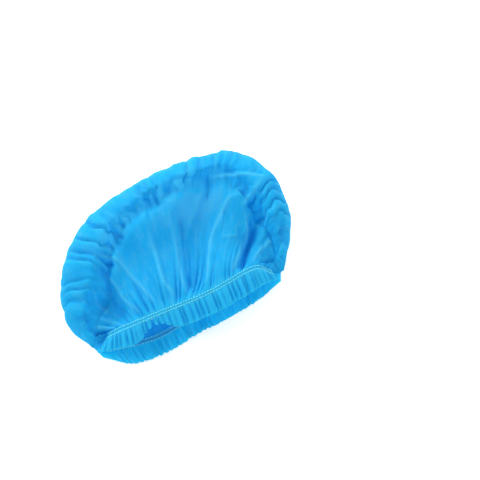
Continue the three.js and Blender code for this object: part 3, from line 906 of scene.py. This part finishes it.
def nonwoven_material():
    """Thin spun-bonded nonwoven: cloudy fibres with a net of bonded points, partly see-through.

    Fibres are noise drawn out along the sheet, crossed at a slant. Bonded points stand where the
    product of two sines is high, and are a little sunken and glassy. Light goes through between
    the fibres. The blue is deeper with painted shade in folds and in the mouth, paler with painted
    highlight on ridges and painted light on the far rim, and brighter with painted light on hems.
    """
    material, tree, surface = new_material("nonwoven_blue")
    flat = flat_map(tree)
    hem = shade(tree, "hem")
    clouds = noise(tree, flat, *CLOUDS)
    long_fibres = noise(tree, flat, *LONG_FIBRES)
    slant_fibres = noise(tree, flat, *SLANT_FIBRES)
    fibres = shared(tree, long_fibres, slant_fibres, FIBRE_SHARES)
    parts = add_node(tree, "ShaderNodeSeparateXYZ", {"Vector": flat})
    across = calc(tree, "MULTIPLY", parts.outputs["X"], 2 * np.pi * BONDS_ACROSS)
    along = calc(tree, "MULTIPLY", parts.outputs["Y"], 2 * np.pi * BONDS_ALONG)
    net = calc(tree, "MULTIPLY", calc(tree, "SINE", across), calc(tree, "SINE", along))
    bonds = carried(tree, net, {"From Min": 0.45, "From Max": 0.8})
    dense = shared(tree, clouds, fibres, DENSE_SHARES)
    dense = calc(tree, "SUBTRACT", dense, calc(tree, "MULTIPLY", shade(tree, "thin"), THIN_SHARE))
    colour = colour_ramp(tree, dense, CLOTH_SHADES)
    # Painted shade in folds and in the mouth.
    colour = tinted(tree, colour, shade(tree, "painted_shade"), PAINTED_SHADE_SHARE, PAINTED_SHADE_COLOUR)
    # Painted highlight on ridges, and painted light on the inner side of the far rim.
    colour = tinted(tree, colour, shade(tree, "edge"), PAINTED_HIGHLIGHT_SHARE, PAINTED_HIGHLIGHT_COLOUR)
    # Painted light: the hems are tinted brighter.
    colour = tinted(tree, colour, hem, HEM_PAINTED_LIGHT_SHARE, HEM_PAINTED_LIGHT_COLOUR)
    height = calc(tree, "SUBTRACT", fibres, calc(tree, "MULTIPLY", bonds, BOND_SINK))
    normal = raised(tree, height, strength=0.22, distance=0.0004)
    face = add_node(tree, "ShaderNodeBsdfPrincipled", {
        "Base Color": colour,
        "Roughness": carried(tree, bonds, {"To Min": 0.72, "To Max": 0.48}),
        "Normal": normal,
        "Specular IOR Level": 0.2,
        "Sheen Weight": 0.05,
        "Sheen Roughness": 0.5,
    })
    through = add_node(tree, "ShaderNodeBsdfTranslucent", {"Color": colour, "Normal": normal})
    clear = add_node(tree, "ShaderNodeBsdfTransparent", {})
    gaps = {"From Min": 0.2, "From Max": 0.75, "To Min": 0.17, "To Max": 0.03}
    open_part = calc(tree, "MULTIPLY_ADD", hem, HEM_CLOSING, 1.0)
    veil = calc(tree, "MULTIPLY", carried(tree, dense, gaps), open_part)
    glow = mixed(tree, LIGHT_THROUGH, face.outputs["BSDF"], through.outputs["BSDF"])
    tree.links.new(mixed(tree, veil, glow, clear.outputs["BSDF"]), surface)
    return material


def elastic_material():
    """Covered elastic: mid-blue deepened by painted shade of the mouth, clouded, with the fine
    crossing of its cover threads.
    """
    material, tree, surface = new_material("covered_elastic")
    flat = flat_map(tree)
    cover = noise(tree, flat, *COVER_THREADS)
    clouds = noise(tree, flat, *COVER_CLOUDS)
    face = add_node(tree, "ShaderNodeBsdfPrincipled", {
        "Base Color": colour_ramp(tree, shared(tree, cover, clouds, COVER_SHARES), COVER_BLUES_AND_PAINTED_SHADE),
        "Roughness": 0.7,
        "Normal": raised(tree, cover, strength=0.4, distance=0.0003),
        "Sheen Weight": 0.2,
    })
    tree.links.new(face.outputs["BSDF"], surface)
    return material


def thread_material():
    """Spun sewing thread: bluish white, with the slant of its twist as a distorted wave."""
    material, tree, surface = new_material("sewing_thread")
    place = add_node(tree, "ShaderNodeTexCoord", {}).outputs["Object"]
    turn = add_node(tree, "ShaderNodeMapping", {"Vector": place, "Rotation": THREAD_SLANT})
    inputs = {"Vector": turn.outputs["Vector"], "Scale": 900.0, "Distortion": 2.0}
    twist = add_node(tree, "ShaderNodeTexWave", inputs).outputs["Fac"]
    face = add_node(tree, "ShaderNodeBsdfPrincipled", {
        "Base Color": colour_ramp(tree, twist, THREAD_SHADES),
        "Roughness": 0.6,
        "Normal": raised(tree, twist, strength=0.3, distance=0.0002),
        "Specular IOR Level": 0.2,
        "Sheen Weight": 0.05,
    })
    tree.links.new(face.outputs["BSDF"], surface)
    return material


def floor_material():
    """Pale matt floor with a faint glow of its own."""
    material, tree, surface = new_material("pale_floor")
    face = add_node(tree, "ShaderNodeBsdfPrincipled", {
        "Base Color": (0.93, 0.93, 0.93, 1.0),
        "Roughness": 0.9,
        "Emission Color": (1.0, 1.0, 1.0, 1.0),
        "Emission Strength": FLOOR_GLOW,
    })
    tree.links.new(face.outputs["BSDF"], surface)
    return material


def make_floor():
    """Wide square floor just under the cap."""
    mesh = bpy.data.meshes.new("floor")
    corners = FLOOR_REACH * np.array([(-1, -1, 0), (1, -1, 0), (1, 1, 0), (-1, 1, 0)], float)
    mesh.from_pydata(corners.tolist(), [], [(0, 1, 2, 3)])
    floor = bpy.data.objects.new("floor", mesh)
    bpy.context.scene.collection.objects.link(floor)
    floor.data.materials.append(floor_material())


def set_up(thing, side, up, back, spot):
    """Stand a camera or light at the spot, with its own axes along side, up and back."""
    grid = np.eye(4)
    grid[:3] = np.stack([side, up, back, spot], 1)
    thing.matrix_world = Matrix(grid.tolist())
    bpy.context.scene.collection.objects.link(thing)


def make_camera():
    """Camera on a sphere about the point it looks at, with no shift."""
    back = np.array([
        np.sin(CAMERA_AZIMUTH) * np.cos(CAMERA_ELEVATION),
        -np.cos(CAMERA_AZIMUTH) * np.cos(CAMERA_ELEVATION),
        np.sin(CAMERA_ELEVATION),
    ])
    right = np.array([np.cos(CAMERA_AZIMUTH), np.sin(CAMERA_AZIMUTH), 0.0])
    lens = bpy.data.cameras.new("camera")
    lens.sensor_width = SENSOR
    lens.lens = SENSOR * CAMERA_DISTANCE / FRAME_WIDTH
    lens.clip_end = CAMERA_REACH
    camera = bpy.data.objects.new("camera", lens)
    set_up(camera, right, np.cross(back, right), back, np.array(LOOK_AT) + CAMERA_DISTANCE * back)
    bpy.context.scene.camera = camera


def make_light(name, spot, size, power):
    """Square soft light at the spot, facing the cap."""
    lamp = bpy.data.lights.new(name, "AREA")
    lamp.shape = "SQUARE"
    lamp.size = size
    lamp.energy = power
    away = unit(np.array(spot))
    side = unit(np.cross([0.0, 0.0, 1.0], away))
    set_up(bpy.data.objects.new(name, lamp), side, np.cross(away, side), away, spot)


def make_studio():
    """Evenly white surroundings, and soft lights on all four sides of the cap."""
    world = bpy.data.worlds.new("studio")
    world.use_nodes = True
    sky = world.node_tree.nodes["Background"]
    sky.inputs["Color"].default_value = (1.0, 1.0, 1.0, 1.0)
    sky.inputs["Strength"].default_value = SKY_GLOW
    bpy.context.scene.world = world
    for light in LIGHTS:
        make_light(*light)
    bpy.context.scene.view_settings.view_transform = "Standard"


make_camera()
crown = make_crown()
front_elastic = make_elastic("front_elastic_band", FRONT_BAND_ROW)
back_elastic = make_elastic("back_elastic_band", BACK_BAND_ROW)
front_stitches = make_stitches("front_stitches", FRONT_BAND_ROW, FRONT_SEAM)
back_stitches = make_stitches("back_stitches", BACK_BAND_ROW, BACK_SEAM)

crown.data.materials.append(nonwoven_material())
elastic_cover = elastic_material()
thread = thread_material()
for piece, finish in (
    (front_elastic, elastic_cover),
    (back_elastic, elastic_cover),
    (front_stitches, thread),
    (back_stitches, thread),
):
    piece.data.materials.append(finish)
    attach(piece, "root")
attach(crown, "root")
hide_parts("crown")
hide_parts("front_elastic")
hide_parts("back_elastic")

make_floor()
make_studio()
